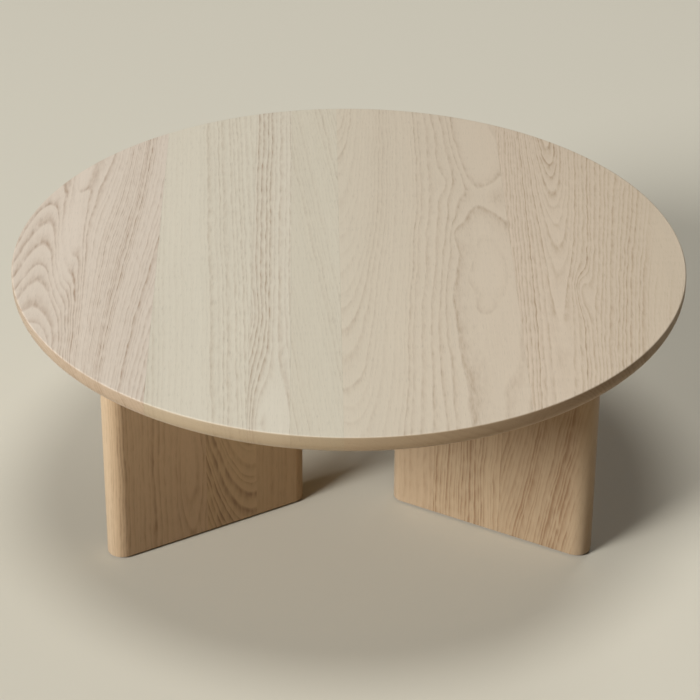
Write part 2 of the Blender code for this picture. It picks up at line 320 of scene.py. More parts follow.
def to_node(shape, node):
    """Moves a shape sideways from the middle of the table to the middle of a CAD node."""
    low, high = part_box(node)
    middle = (low + high) / 2
    bmesh.ops.translate(shape, vec=(middle.x, middle.y, 0), verts=shape.verts)


def hole_cutter(node, radius, bottom, top):
    """An upright round cutter at a CAD node, a little wider than the radius."""
    shape = cylinder(radius + POCKET_GAP, bottom, top, HOLE_STEPS)
    to_node(shape, node)
    return add_object(f"{node}_cutter", shape)


def cut_out(piece, cutters):
    """Cuts every cutter out of a piece, and keeps the result as the piece's own mesh."""
    group = bpy.data.collections.new(piece.name + "_cutters")
    for cutter in cutters:
        group.objects.link(cutter)
    cut = piece.modifiers.new("cut", "BOOLEAN")
    cut.operation = "DIFFERENCE"
    cut.operand_type = "COLLECTION"
    cut.collection = group
    graph = bpy.context.evaluated_depsgraph_get()
    mesh = bpy.data.meshes.new_from_object(piece.evaluated_get(graph))
    piece.modifiers.clear()
    piece.data = mesh
    shade(mesh)
    bpy.data.collections.remove(group)


def remove_all(objects):
    for item in objects:
        bpy.data.objects.remove(item)


top_cutters = [pocket_cutter(side) for side in LEG_AZIMUTHS]
top_cutters += [
    hole_cutter(node, half_width(node), underside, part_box(node)[1].z + POCKET_GAP)
    for side in LEG_AZIMUTHS
    for node in nodes_of(side, "insert")
]
print(len(top_cutters), "cutters for the top")

# %% [markdown]
# ## The boards of the top
#
# Six boards of unlike width make the top. Their glue lines run away from the viewer. Each board is
# its own object, as it was its own plank, so that each can have its own grain and colour.

# %% Saw the top into its boards
top_cuts = seams(TOP_BOARDS, ACROSS_TOP)
top_pieces = []
for node, shape in zip(TOP_BOARDS, saw_boards(top_form, top_cuts, ACROSS_TOP)):
    piece = add_object(f"ash_{node}", shape)
    cut_out(piece, top_cutters)
    put_in_place(piece, "ash_top", node)
    top_pieces.append(piece)
remove_all(top_cutters)
print("glue lines at", [round(cut, 3) for cut in top_cuts])
print("top boards", sum(triangles(piece) for piece in top_pieces), "triangles")

# %% [markdown]
# ## The slab legs
#
# A slab is about as thick as three fingers are wide, and its two upright ends are fully round. It
# starts as a round post: the half of its vertices that lies outwards is pulled away from the other
# half, and the flat sides appear between them. The foot gets a small round, so that it does not
# splinter when the table is pushed. Then the slab is sawn into its three upright boards, which are
# drilled for the screws from above and for the pins of the glides from below.

# %% Make the slabs and saw them into boards
POST_STEPS = 112
FOOT_RADIUS = 0.0012
FOOT_STEPS = 3
PIN_RADIUS = 0.002


def slab_form():
    """A slab along +X, from the inner end to the outer end."""
    radius = leg_thickness / 2
    shape = cylinder(radius, leg_foot, leg_head, POST_STEPS)
    half_step = Matrix.Rotation(math.pi / POST_STEPS, 3, "Z")
    bmesh.ops.rotate(shape, matrix=half_step, verts=shape.verts)
    outer = [vert for vert in shape.verts if vert.co.x > 0]
    inner = [vert for vert in shape.verts if vert.co.x < 0]
    bmesh.ops.translate(shape, vec=(leg_end - radius, 0, 0), verts=outer)
    bmesh.ops.translate(shape, vec=(leg_start + radius, 0, 0), verts=inner)
    round_end(shape, -1, FOOT_RADIUS, FOOT_STEPS)
    return shape


leg_pieces = {}
for side in LEG_AZIMUTHS:
    form = slab_form()
    to_leg(form, side, 0)
    cutters = [
        hole_cutter(node, half_width(node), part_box(node)[0].z - POCKET_GAP, leg_head + CUT_MARGIN)
        for node in nodes_of(side, "screw")
    ]
    cutters += [
        hole_cutter(node, PIN_RADIUS, leg_foot - CUT_MARGIN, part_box(node)[1].z + POCKET_GAP)
        for node in nodes_of(side, "glide")
    ]
    nodes = nodes_of(side, "leg_board")
    leg_cuts = seams(nodes, outwards(side))
    leg_pieces[side] = []
    for node, shape in zip(nodes, saw_boards(form, leg_cuts, outwards(side))):
        piece = add_object(f"ash_{node}", shape)
        cut_out(piece, cutters)
        put_in_place(piece, "ash_leg", node)
        leg_pieces[side].append(piece)
    remove_all(cutters)
    print(side, "slab glue lines at", [round(cut, 3) for cut in leg_cuts])

# %% [markdown]
# ## Plates, bolts and glides
#
# Over each slab lies a steel plate with four button-head bolts, and below it sit two nylon glides.
# Bolts and glides are turned pieces, so each one is half an outline, spun once round its axis. A
# cylinder with a beveled rim would give the heads too, but an outline shows every radius at a glance.
# The points of a round are worked out from its middle, and the doubles on the axis are merged.

# %% Helpers for turned pieces
TURN_STEPS = 48
ROUND_STEPS = 6
MERGE_DISTANCE = 1e-6


def quarter(middle, height, radius, start):
    """A quarter circle of outline points, clockwise from a start angle in degrees."""
    angles = [math.radians(start - 90 * step / ROUND_STEPS) for step in range(ROUND_STEPS + 1)]
    return [(middle + radius * math.cos(a), height + radius * math.sin(a)) for a in angles]


def turned(outline, node):
    """Spins an outline, from the top of the axis to its bottom, upright at a CAD node's middle."""
    shape = bmesh.new()
    points = [shape.verts.new((radius, 0, height)) for radius, height in outline]
    edges = [shape.edges.new(pair) for pair in zip(points, points[1:])]
    bmesh.ops.spin(
        shape,
        geom=points + edges,
        cent=(0, 0, 0),
        axis=(0, 0, 1),
        angle=2 * math.pi,
        steps=TURN_STEPS,
        use_merge=True,
    )
    bmesh.ops.remove_doubles(shape, verts=shape.verts, dist=MERGE_DISTANCE)
    bmesh.ops.recalc_face_normals(shape, faces=shape.faces)
    to_node(shape, node)
    return shape


# %% [markdown]
# A bolt's head is a low dome over a short upright band, with a socket for a hexagon key. The socket
# is cut with a six-sided bar. A glide is a disc that slides on the floor, so its lower edge is well
# rounded, with a pin that is pushed up into the slab.

# %% Turn the bolts and the glides
HEAD_HEIGHT = 0.0033
HEAD_BAND = 0.0010
BOLT_RADIUS = 0.003
BOLT_CHAMFER = 0.0006
SOCKET_WIDTH = 0.004
SOCKET_DEPTH = 0.002
HEXAGON = 6
GLIDE_ROUND = 0.0010
GLIDE_EASE = 0.0004
fittings = {"bolt": [], "glide": []}


def socket_cutter(node, bottom):
    """A six-sided bar that reaches up into a bolt's head."""
    corner = SOCKET_WIDTH / 2 / math.cos(math.pi / HEXAGON)
    shape = cylinder(corner, bottom - CUT_MARGIN, bottom + SOCKET_DEPTH, HEXAGON)
    to_node(shape, node)
    return add_object(f"{node}_socket", shape)


def add_bolt(node):
    low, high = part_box(node)
    head = half_width(node)
    dome = HEAD_HEIGHT - HEAD_BAND
    outline = [
        (0, high.z),
        (BOLT_RADIUS - BOLT_CHAMFER, high.z),
        (BOLT_RADIUS, high.z - BOLT_CHAMFER),
        (BOLT_RADIUS, low.z + HEAD_HEIGHT),
        (head, low.z + HEAD_HEIGHT),
        *quarter(head - dome, low.z + dome, dome, 0),
        (0, low.z),
    ]
    bolt = add_object(f"button_{node}", turned(outline, node))
    socket = socket_cutter(node, low.z)
    cut_out(bolt, [socket])
    remove_all([socket])
    put_in_place(bolt, "bolt_black_oxide", node)
    return bolt


def add_glide(node):
    low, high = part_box(node)
    disc = half_width(node)
    seat = leg_foot - POCKET_GAP
    outline = [
        (0, high.z),
        (PIN_RADIUS, high.z - PIN_RADIUS),
        (PIN_RADIUS, seat),
        *quarter(disc - GLIDE_EASE, seat - GLIDE_EASE, GLIDE_EASE, 90),
        *quarter(disc - GLIDE_ROUND, low.z + GLIDE_ROUND, GLIDE_ROUND, 0),
        (0, low.z),
    ]
    glide = add_object(f"pinned_{node}", turned(outline, node))
    put_in_place(glide, "glide_nylon", node)
    return glide


for side in LEG_AZIMUTHS:
    fittings["bolt"] += [add_bolt(node) for node in nodes_of(side, "bolt")]
    fittings["glide"] += [add_glide(node) for node in nodes_of(side, "glide")]
print(len(fittings["bolt"]), "bolts and", len(fittings["glide"]), "glides turned")

# %% [markdown]
# A plate is cut from sheet steel: a flat bar with rounded corners and a slightly broken edge. It has
# a plain hole for each bolt and a countersunk one for each long screw, whose cutter is turned from
# the screw's own outline, a little larger.

# %% Cut the plates
PLATE_EDGE = 0.0005
PLATE_EDGE_STEPS = 2
SCREW_RADIUS = 0.0035
SCREW_BAND = 0.0004


def bolt_hole_cutter(node, bottom, top):
    radius = BOLT_RADIUS + POCKET_GAP
    outline = [(0, top), (radius, top), (radius, bottom), (0, bottom)]
    return add_object(f"{node}_hole", turned(outline, node))


def countersink_cutter(node, bottom, top):
    head = half_width(node) + POCKET_GAP
    shank = SCREW_RADIUS + POCKET_GAP
    cone_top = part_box(node)[1].z - SCREW_BAND - POCKET_GAP
    outline = [
        (0, top),
        (head, top),
        (head, cone_top),
        (shank, cone_top - (head - shank)),
        (shank, bottom),
        (0, bottom),
    ]
    return add_object(f"{node}_hole", turned(outline, node))


def add_plate(side):
    node = f"{side}_plate"
    bottom, top = reach(node, UP)
    shape = plate_form(side, 0, bottom, top)
    for end in (-1, 1):
        round_end(shape, end, PLATE_EDGE, PLATE_EDGE_STEPS)
    to_plate(shape, side)
    plate = add_object(f"steel_{node}", shape)
    through = (bottom - CUT_MARGIN, top + CUT_MARGIN)
    holes = [bolt_hole_cutter(node, *through) for node in nodes_of(side, "bolt")]
    holes += [countersink_cutter(node, *through) for node in nodes_of(side, "screw")]
    cut_out(plate, holes)
    remove_all(holes)
    put_in_place(plate, "plate_steel", node)
    return plate


fittings["plate"] = [add_plate(side) for side in LEG_AZIMUTHS]
print(len(fittings["plate"]), "plates,", triangles(fittings["plate"][0]), "triangles each")

# %% [markdown]
# ## Small helpers for shaders
#
# A shader written in Python is a list of nodes and links. A few helpers keep that list readable: one
# adds a node, sets its options and fills or links its inputs, and others do a sum and hand back the
# result. Another starts a group with named sockets, and the last one connects what such a group
# puts out to the shader of a material.

# %% Helpers that build node trees


def fill_inputs(tree, node, inputs):
    """Each input is either a socket to link or a plain value."""
    for key, value in inputs.items():
        if isinstance(value, bpy.types.NodeSocket):
            tree.links.new(value, node.inputs[key])
        else:
            node.inputs[key].default_value = value


def add_node(tree, kind, inputs=None, **options):
    node = tree.nodes.new(kind)
    for name, value in options.items():
        setattr(node, name, value)
    fill_inputs(tree, node, inputs or {})
    return node


def work_out(tree, operation, *values):
    """The result of one Math node."""
    return add_node(tree, "ShaderNodeMath", dict(enumerate(values)), operation=operation).outputs[0]


def minus(tree, one, two):
    return work_out(tree, "SUBTRACT", one, two)


def times(tree, one, two):
    return work_out(tree, "MULTIPLY", one, two)


def over(tree, one, two):
    return work_out(tree, "DIVIDE", one, two)


def times_plus(tree, one, two, three):
    """One times two, plus three."""
    return work_out(tree, "MULTIPLY_ADD", one, two, three)


def add_up(tree, total, *terms):
    """A start value, plus each term's value times its amount."""
    for value, amount in terms:
        total = times_plus(tree, value, amount, total)
    return total


def long_side(tree, one, two):
    """The long side of a right-angled triangle with these two short sides."""
    return work_out(tree, "SQRT", times_plus(tree, two, two, times(tree, one, one)))


def change_range(tree, value, low, high, new_low, new_high):
    """Maps a value from one range to another, and clamps it there."""
    inputs = {0: value, 1: low, 2: high, 3: new_low, 4: new_high}
    return add_node(tree, "ShaderNodeMapRange", inputs).outputs[0]


def mix_colours(tree, share, one, two, blend="MIX"):
    inputs = {"Factor": share, 6: one, 7: two}
    return add_node(tree, "ShaderNodeMix", inputs, data_type="RGBA", blend_type=blend).outputs[2]


def separate(tree, vector):
    """The three parts of a vector."""
    return add_node(tree, "ShaderNodeSeparateXYZ", {0: vector}).outputs


def new_group(name, inputs, outputs):
    """A shader group with named sockets. Returns it with what comes in and what goes out."""
    group = bpy.data.node_groups.new(name, "ShaderNodeTree")
    for label, kind in inputs.items():
        group.interface.new_socket(label, in_out="INPUT", socket_type="NodeSocket" + kind)
    for label, kind in outputs.items():
        group.interface.new_socket(label, in_out="OUTPUT", socket_type="NodeSocket" + kind)
    return group, add_node(group, "NodeGroupInput").outputs, add_node(group, "NodeGroupOutput").inputs


def add_group(tree, group, inputs):
    node = tree.nodes.new("ShaderNodeGroup")
    node.node_tree = group
    fill_inputs(tree, node, inputs)
    return node.outputs


def new_material(name):
    """A material with a Principled shader. Returns it with its tree and the shader."""
    material = bpy.data.materials.new(name)
    material.use_nodes = True
    return material, material.node_tree, material.node_tree.nodes["Principled BSDF"]


def connect(tree, shader, surface, relief, strength=1.0):
    """Lets the outputs of a group steer the shader's colour, roughness and relief."""
    inputs = {"Height": surface["Height"], "Distance": relief, "Strength": strength}
    bump = add_node(tree, "ShaderNodeBump", inputs).outputs[0]
    inputs = {"Base Color": surface["Colour"], "Roughness": surface["Roughness"], "Normal": bump}
    fill_inputs(tree, shader, inputs)


# %% [markdown]
# ## A swell in the grain
#
# A trunk is never a perfect cone. Where it bulges, a flat cut shows loops, eyes and flames. A swell
# is one such bulge: a hill, longer along the board than across it, that is added to the distance
# from the heart of the tree. A Flatness of 1 gives a smooth hill. A larger one gives a hill with a
# level top, which shows as plain wood with the lines gathered round it.
#
# The group hands on the hill's slope across and along the board as well as its height. The slope is
# needed later, because a ring that lies nearly flat in the face would smear out into a wide band.

# %% The swell group
HILL_SIZES = ("Across", "Along", "Width", "Length", "Height", "Flatness")

swell, given, result = new_group(
    "swell", {"Place": "Vector", **dict.fromkeys(HILL_SIZES, "Float")}, {"Shape": "Vector"}
)
place = separate(swell, given["Place"])
off_across = over(swell, minus(swell, place[0], given["Across"]), given["Width"])
off_along = over(swell, minus(swell, place[1], given["Along"]), given["Length"])
square = times(swell, off_across, off_across)
square = times_plus(swell, off_along, off_along, square)
power = work_out(swell, "POWER", square, given["Flatness"])
hill = work_out(swell, "EXPONENT", times(swell, power, -1.0))
hill = times(swell, hill, given["Height"])
fall = times(swell, given["Flatness"], -2.0)
fall = times(swell, fall, over(swell, power, square))
fall = times(swell, fall, hill)
slope_across = times(swell, fall, over(swell, off_across, given["Width"]))
slope_along = times(swell, fall, over(swell, off_along, given["Length"]))
shape = add_node(swell, "ShaderNodeCombineXYZ", {0: slope_across, 1: slope_along, 2: hill})
swell.links.new(shape.outputs[0], result["Shape"])
print("swell group:", len(swell.nodes), "nodes")

# %% [markdown]
# ## Ash, as a solid
#
# Ash grows a band of large open pores each spring and dense pale wood after it, so its grain is a
# set of thin darker lines with a sharp inner side and a soft outer side. Painted lines would not
# meet at the edges of a board. Instead the group works out how far each point lies from the heart of
# the tree. A cut through such a solid gives straight lines where the rings stand upright in the
# board, and arches where they lie flat.
#
# Place is measured in the board: across it, along it, and up through its thickness. Two noises bend
# the rings, a slow one for the growth of the trunk and a quick one for the small waver of a line.

# %% The ash group: the distance from the heart of the tree
# The detail of a noise: how many finer layers lie over it
EVEN_NOISE = 0.0
SOFT_NOISE = 1.0
ROUGH_NOISE = 2.0
FINE_NOISE = 3.0

SLOW_STRETCH = (9.0, 2.2, 9.0)
QUICK_STRETCH = (60.0, 20.0, 60.0)
QUICK_WAVER = 0.0065
TREE_SIZES = ("Pith Across", "Pith Depth", "Taper", "Lean", "Ring Width", "Waver")
LINE_VALUES = ("Seed", "Decade", "Contrast", "Ripple", "Plain")
SURFACE = {"Colour": "Color", "Roughness": "Float", "Height": "Float"}

ash_inputs = dict.fromkeys(("Place", "Facing", "Swells"), "Vector")
ash_inputs |= dict.fromkeys(TREE_SIZES + LINE_VALUES, "Float")
ash_inputs |= dict.fromkeys(("Edge Tint", "Late Wood With Painted Shading", "Early Wood"), "Color")
ash, given, result = new_group("ash", ash_inputs, SURFACE)


def stretched_noise(stretch, detail):
    """Noise from -0.5 to 0.5, drawn out along the board."""
    spot = add_node(ash, "ShaderNodeVectorMath", {0: given["Place"], 1: stretch}, operation="MULTIPLY")
    inputs = {"Vector": spot.outputs[0], "W": given["Seed"], "Scale": 1.0, "Detail": detail}
    noise = add_node(ash, "ShaderNodeTexNoise", inputs, noise_dimensions="4D")
    return minus(ash, noise.outputs["Fac"], 0.5)


place = separate(ash, given["Place"])
lift = separate(ash, given["Swells"])
leaned = minus(ash, place[0], times(ash, place[1], given["Lean"]))
from_pith = minus(ash, leaned, given["Pith Across"])
above_pith = times_plus(ash, place[1], given["Taper"], given["Pith Depth"])
above_pith = work_out(ash, "ADD", above_pith, place[2])
distance = long_side(ash, from_pith, above_pith)

slope_across = work_out(ash, "ADD", over(ash, from_pith, distance), lift[0])
slope_along = times(ash, above_pith, given["Taper"])
slope_along = minus(ash, slope_along, times(ash, from_pith, given["Lean"]))
slope_along = work_out(ash, "ADD", over(ash, slope_along, distance), lift[1])
slope = work_out(ash, "MINIMUM", long_side(ash, slope_across, slope_along), 1.0)

slow = stretched_noise(SLOW_STRETCH, ROUGH_NOISE)
quick = stretched_noise(QUICK_STRETCH, ROUGH_NOISE)
field = work_out(ash, "ADD", distance, lift[2])
field = add_up(ash, field, (slow, given["Waver"]), (quick, times(ash, slope, QUICK_WAVER)))
print("distance from the heart of the tree:", len(ash.nodes), "nodes")

# %% [markdown]
# The distance becomes year rings. Good years and bad years make rings of unlike width and strength:
# one noise over the ring count pushes the rings together and apart, a random number for each ring
# sets how dark its line is, and a slower noise makes whole decades faint or strong. A line takes up
# a small share of a ring that lies flat and a larger share of one that stands upright, and it comes
# and goes along its length.

# %% The ash group: year rings
UNEVEN_RATE = 0.37
UNEVEN_AMOUNT = 1.4
DECADE_RATE = 0.11
DECADE_RANGE = (0.35, 0.65)
DECADE_STRENGTH = (0.35, 1.25)
LINE_STRENGTH = (0.35, 1.0)
PLAIN_STRENGTH = 0.1
LINE_SHARE = (0.26, 0.42)
LINE_START = 0.6
PATCH_STRETCH = (160.0, 40.0, 160.0)
PATCH_RANGE = (-0.35, 0.35)
PATCH_STRENGTH = (0.0, 2.0)


def ring_noise(count, rate, offset, detail):
    """Noise over the ring count."""
    inputs = {"W": times_plus(ash, count, rate, offset), "Scale": 1.0, "Detail": detail}
    return add_node(ash, "ShaderNodeTexNoise", inputs, noise_dimensions="1D").outputs["Fac"]


count = over(ash, field, given["Ring Width"])
uneven = minus(ash, ring_noise(count, UNEVEN_RATE, given["Seed"], SOFT_NOISE), 0.5)
count = times_plus(ash, uneven, UNEVEN_AMOUNT, count)
season = work_out(ash, "FRACT", count)
year = work_out(ash, "ADD", work_out(ash, "FLOOR", count), given["Seed"])
chance = add_node(ash, "ShaderNodeTexWhiteNoise", {"W": year}, noise_dimensions="1D").outputs["Color"]
chance = add_node(ash, "ShaderNodeSeparateColor", {0: chance}).outputs[1]
decade = ring_noise(count, DECADE_RATE, given["Decade"], EVEN_NOISE)

share = change_range(ash, slope, 0.0, 1.0, *LINE_SHARE)
fading = work_out(ash, "EXPONENT", times(ash, over(ash, season, share), -1.0))
start = change_range(ash, season, 0.0, times(ash, share, LINE_START), 0.0, 1.0)
line = times(ash, fading, start)
for strength in (
    change_range(ash, chance, 0.0, 1.0, *LINE_STRENGTH),
    change_range(ash, decade, *DECADE_RANGE, *DECADE_STRENGTH),
    change_range(ash, given["Plain"], 0.0, 1.0, 1.0, PLAIN_STRENGTH),
    change_range(ash, stretched_noise(PATCH_STRETCH, SOFT_NOISE), *PATCH_RANGE, *PATCH_STRENGTH),
):
    line = times(ash, line, strength)
print("with year rings:", len(ash.nodes), "nodes")

# %% [markdown]
# Up close the wood has more than rings: fine fibres along the board, short open pores that crowd in
# the spring bands, a slow drift of tone, and in places a ripple across the grain that catches the
# light. On the ends of the boards, where the saw went across the fibres, the lines are fainter and
# the oil soaks in deeper, so the wood is darker and warmer there. All narrow faces of a board also
# take a tint: on the rim of the top it is the rim's own darker colour, and on the round ends of the
# slabs it is painted light, paler and cooler than the faces.

# %% The ash group: fibres, pores, ripple and end grain
FIBRE_STRETCH = (520.0, 7.0, 520.0)
FIBRE_TONE = 0.14
DRIFT_STRETCH = (7.0, 1.1, 7.0)
DRIFT_TONE = 0.14
RIPPLE_STRETCH = (14.0, 90.0, 14.0)
PORE_STRETCH = (1900.0, 55.0, 1900.0)
PORE_LEVEL = 0.13
PORE_CROWDING = 0.12
PORE_EDGE = 0.05
PORE_TONE = 0.16
END_RANGE = (0.35, 0.95)
END_FADE = 0.65
EDGE_RANGE = (0.35, 0.97)
END_TINT = (0.86, 0.79, 0.71, 1.0)

fibre = stretched_noise(FIBRE_STRETCH, FINE_NOISE)
drift = stretched_noise(DRIFT_STRETCH, ROUGH_NOISE)
ripple = stretched_noise(RIPPLE_STRETCH, ROUGH_NOISE)
level = times_plus(ash, line, -PORE_CROWDING, PORE_LEVEL)
level = minus(ash, stretched_noise(PORE_STRETCH, SOFT_NOISE), level)
pores = change_range(ash, level, 0.0, PORE_EDGE, 0.0, 1.0)
facing = separate(ash, given["Facing"])
end_grain = change_range(ash, work_out(ash, "ABSOLUTE", facing[1]), *END_RANGE, 0.0, 1.0)
edge = change_range(ash, work_out(ash, "ABSOLUTE", facing[2]), *EDGE_RANGE, 1.0, 0.0)

shown = times(ash, line, given["Contrast"])
shown = times(ash, shown, times_plus(ash, end_grain, -END_FADE, 1.0))
wood = mix_colours(ash, shown, given["Late Wood With Painted Shading"], given["Early Wood"])
wood = mix_colours(ash, end_grain, wood, END_TINT, "MULTIPLY")
# On the slabs' round ends this tint is painted light; on the rim of the top it is the rim's own colour.
wood = mix_colours(ash, edge, wood, given["Edge Tint"], "MULTIPLY")
tone = add_up(
    ash, 1.0, (fibre, FIBRE_TONE), (drift, DRIFT_TONE), (ripple, given["Ripple"]), (pores, -PORE_TONE)
)
wood = add_node(ash, "ShaderNodeVectorMath", {0: wood, "Scale": tone}, operation="SCALE").outputs[0]
ash.links.new(wood, result["Colour"])
print("with its colour:", len(ash.nodes), "nodes")

# %% [markdown]
# The same lines, fibres and pores steer the sheen and the relief. Pores stay open under the oil, so
# they are rougher than the dense wood and lie a little lower.

# %% The ash group: sheen and relief
LATE_ROUGHNESS = 0.50
LINE_ROUGHNESS = 0.10
PORE_ROUGHNESS = 0.15
FIBRE_ROUGHNESS = 0.16
FIBRE_HEIGHT = 0.5
LINE_HEIGHT = -0.25
PORE_HEIGHT = -0.7

rough = add_up(
    ash, LATE_ROUGHNESS, (line, LINE_ROUGHNESS), (pores, PORE_ROUGHNESS), (fibre, FIBRE_ROUGHNESS)
)
ash.links.new(rough, result["Roughness"])
height = add_up(ash, 0.0, (fibre, FIBRE_HEIGHT), (line, LINE_HEIGHT), (pores, PORE_HEIGHT))
ash.links.new(height, result["Height"])
print("ash group:", len(ash.nodes), "nodes")

# %% [markdown]
# ## One material for each board
#
# Every board comes from its own place in its own tree. Pith says where the heart of the tree lies,
# seen from the board: across it, and how deep under its face. Taper tilts the rings along the board,
# which makes arches, and Lean slants the lines. Swells are hills as described above, each given as
# across, along, width, length and height, with a sixth number where the hill has a level top. Plain
# places, where the lines fade out, are level hills too, given without their height. Places and sizes
# are in metres, from the middle of the table.
#
# Seed draws the good and the bad years, and Decade can move the faint and the strong ones. A board
# can also darken across its width towards the right, away from the window light. That is painted
# shade, given as where the darkening starts, where it ends, and the colour there.

# %% The material of a board
BUMP_DISTANCE = 0.00012
BUMP_STRENGTH = 0.6
SMOOTH_HILL = 1.0
LEVEL_HILL = 2.0


def add_swells(tree, place, swells):
    """The sum of all the swells of a board."""
    total = (0.0, 0.0, 0.0)
    for sizes in swells:
        inputs = {"Place": place, "Flatness": SMOOTH_HILL, **dict(zip(HILL_SIZES, sizes))}
        hill = add_group(tree, swell, inputs)["Shape"]
        total = add_node(tree, "ShaderNodeVectorMath", {0: total, 1: hill}, operation="ADD").outputs[0]
    return total


def add_plain_places(tree, place, spots):
    """How far a point lies inside the plain places of a board, from 0 to 1."""
    hills = [(*spot, 1.0, LEVEL_HILL) for spot in spots]
    return separate(tree, add_swells(tree, place, hills))[2] if hills else 0.0


def late_colour_with_painted_shade(tree, place, late_wood_with_painted_shading, painted_shade_across):
    """The colour of the late wood, with painted shade that darkens it across the board where given."""
    if not painted_shade_across:
        return (*late_wood_with_painted_shading, 1.0)
    start, end, colour = painted_shade_across
    share = change_range(tree, separate(tree, place)[0], start, end, 0.0, 1.0)
    return mix_colours(tree, share, (*late_wood_with_painted_shading, 1.0), (*colour, 1.0))


def ash_material(name, turn, shift, figure, late_wood_with_painted_shading, early_wood, edge_tint_and_painted_light):
    """Ash with its own figure. turn and shift bring a place in the scene into the board."""
    material, tree, shader = new_material(name)
    spot = add_node(tree, "ShaderNodeTexCoord").outputs
    inputs = {"Vector": spot["Object"], "Location": shift, "Rotation": turn}
    place = add_node(tree, "ShaderNodeMapping", inputs).outputs[0]
    inputs = {"Vector": spot["Normal"], "Rotation": turn}
    facing = add_node(tree, "ShaderNodeMapping", inputs, vector_type="VECTOR").outputs[0]
    grain = add_group(
        tree,
        ash,
        {
            "Place": place,
            "Facing": facing,
            "Swells": add_swells(tree, place, figure.get("swells", [])),
            "Pith Across": figure["pith"][0],
            "Pith Depth": figure["pith"][1],
            "Taper": figure["taper"],
            "Lean": figure.get("lean", 0.0),
            "Ring Width": figure["ring"],
            "Waver": figure["waver"],
            "Seed": figure["seed"],
            "Decade": figure.get("decade", figure["seed"]),
            "Contrast": figure["contrast"],
            "Ripple": figure.get("ripple", 0.0),
            "Plain": add_plain_places(tree, place, figure.get("plain", [])),
            "Edge Tint": (*edge_tint_and_painted_light, 1.0),
            "Late Wood With Painted Shading": late_colour_with_painted_shade(tree, place, late_wood_with_painted_shading, figure.get("painted_shade_across")),
            "Early Wood": (*early_wood, 1.0),
        },
    )
    connect(tree, shader, grain, BUMP_DISTANCE, BUMP_STRENGTH)
    return material


def give_material(piece, material):
    """A new piece gets a place for its material first, and a CAD piece already has one."""
    if not piece.material_slots:
        piece.data.materials.append(material)
    for place in piece.material_slots:
        place.material = material


# %% [markdown]
# ## The figure of the top
#
# From left to right: a pinkish board with nested arches at the rim and a long plain trough; a very
# pale board with straight lines; a narrow board with close dark lines that open into an arch at the
# front; a board with faint slanting lines; a wide board with nested curves on its left, and a flame
# and a long eye on its right; and a yellower board with pointed arches.

# %% Give the top boards their grain
# The last entry of the first, fifth and sixth figures darkens the board towards the right, away from the
# window light: painted shade.
TOP_FIGURES = [
    dict(
        pith=(-0.445, 0.120), taper=0.070, ring=0.0045, waver=0.012, seed=8.0, decade=4.3, contrast=1.50,
        swells=[
            (-0.300, -0.550, 0.075, 0.700, 0.100),
            (-0.250, 0.000, 0.090, 3.000, 0.020),
            (-0.355, -0.400, 0.040, 0.500, 0.030),
            (-0.355, 0.450, 0.040, 0.500, -0.030),
            (-0.390, 0.070, 0.060, 0.220, 0.010),
            (-0.4235, 0.045, 0.0165, 0.165, 0.007, 2),
            (-0.414, 0.280, 0.014, 0.088, 0.006, 2),
        ],
        plain=[(-0.4235, 0.045, 0.0155, 0.170), (-0.414, 0.280, 0.011, 0.075)],
        painted_shade_across=(-0.500, -0.285, (0.652, 0.568, 0.468)),
    ),
    dict(pith=(-0.480, 0.050), taper=0.010, lean=-0.035, ring=0.0075, waver=0.012, seed=11.0, contrast=0.75),
    dict(
        pith=(-0.400, 0.060), taper=0.010, ring=0.0070, waver=0.012, seed=32.0, decade=53.3, contrast=1.40,
        swells=[
            (-0.130, -0.460, 0.020, 0.140, 0.022),
            (-0.086, -0.460, 0.020, 0.150, -0.018),
            (-0.146, -0.180, 0.018, 0.080, -0.011),
        ],
        plain=[(-0.107, -0.450, 0.016, 0.090)],
    ),
    dict(pith=(-0.300, 0.060), taper=0.010, lean=-0.100, ring=0.0055, waver=0.008, seed=31.0, contrast=0.62),
    dict(
        pith=(-0.016, 0.050), taper=-0.075, ring=0.0045, waver=0.015, seed=42.0, decade=39.3, contrast=0.90,
        swells=[
            (0.290, 0.000, 0.120, 3.000, -0.145),
            (0.209, 0.005, 0.034, 0.150, 0.0080, 1.5),
            (0.214, 0.420, 0.045, 0.210, 0.0080, 3),
            (0.150, -0.550, 0.060, 0.300, -0.014),
            (0.150, 0.230, 0.014, 0.040, -0.004),
            (0.166, 0.060, 0.012, 0.040, 0.004),
            (0.178, -0.070, 0.010, 0.030, 0.0025),
            (0.180, 0.020, 0.010, 0.030, -0.0025),
            (0.195, -0.150, 0.016, 0.030, 0.0025),
        ],
        plain=[(0.209, -0.035, 0.024, 0.115), (0.212, 0.340, 0.030, 0.110)],
        painted_shade_across=(-0.014, 0.243, (0.580, 0.483, 0.365)),
    ),
    dict(
        pith=(0.308, 0.030), taper=-0.015, lean=0.050, ring=0.0045, waver=0.012, seed=57.0, decade=19.3,
        contrast=1.55,
        ripple=0.05,
        swells=[
            (0.318, 0.480, 0.030, 0.330, -0.028),
            (0.338, -0.110, 0.012, 0.060, 0.012),
            (0.530, 0.450, 0.130, 0.700, -0.070),
        ],
        plain=[(0.500, 0.050, 0.055, 0.200), (0.300, -0.230, 0.012, 0.060)],
        painted_shade_across=(0.243, 0.480, (0.522, 0.426, 0.305)),
    ),
]
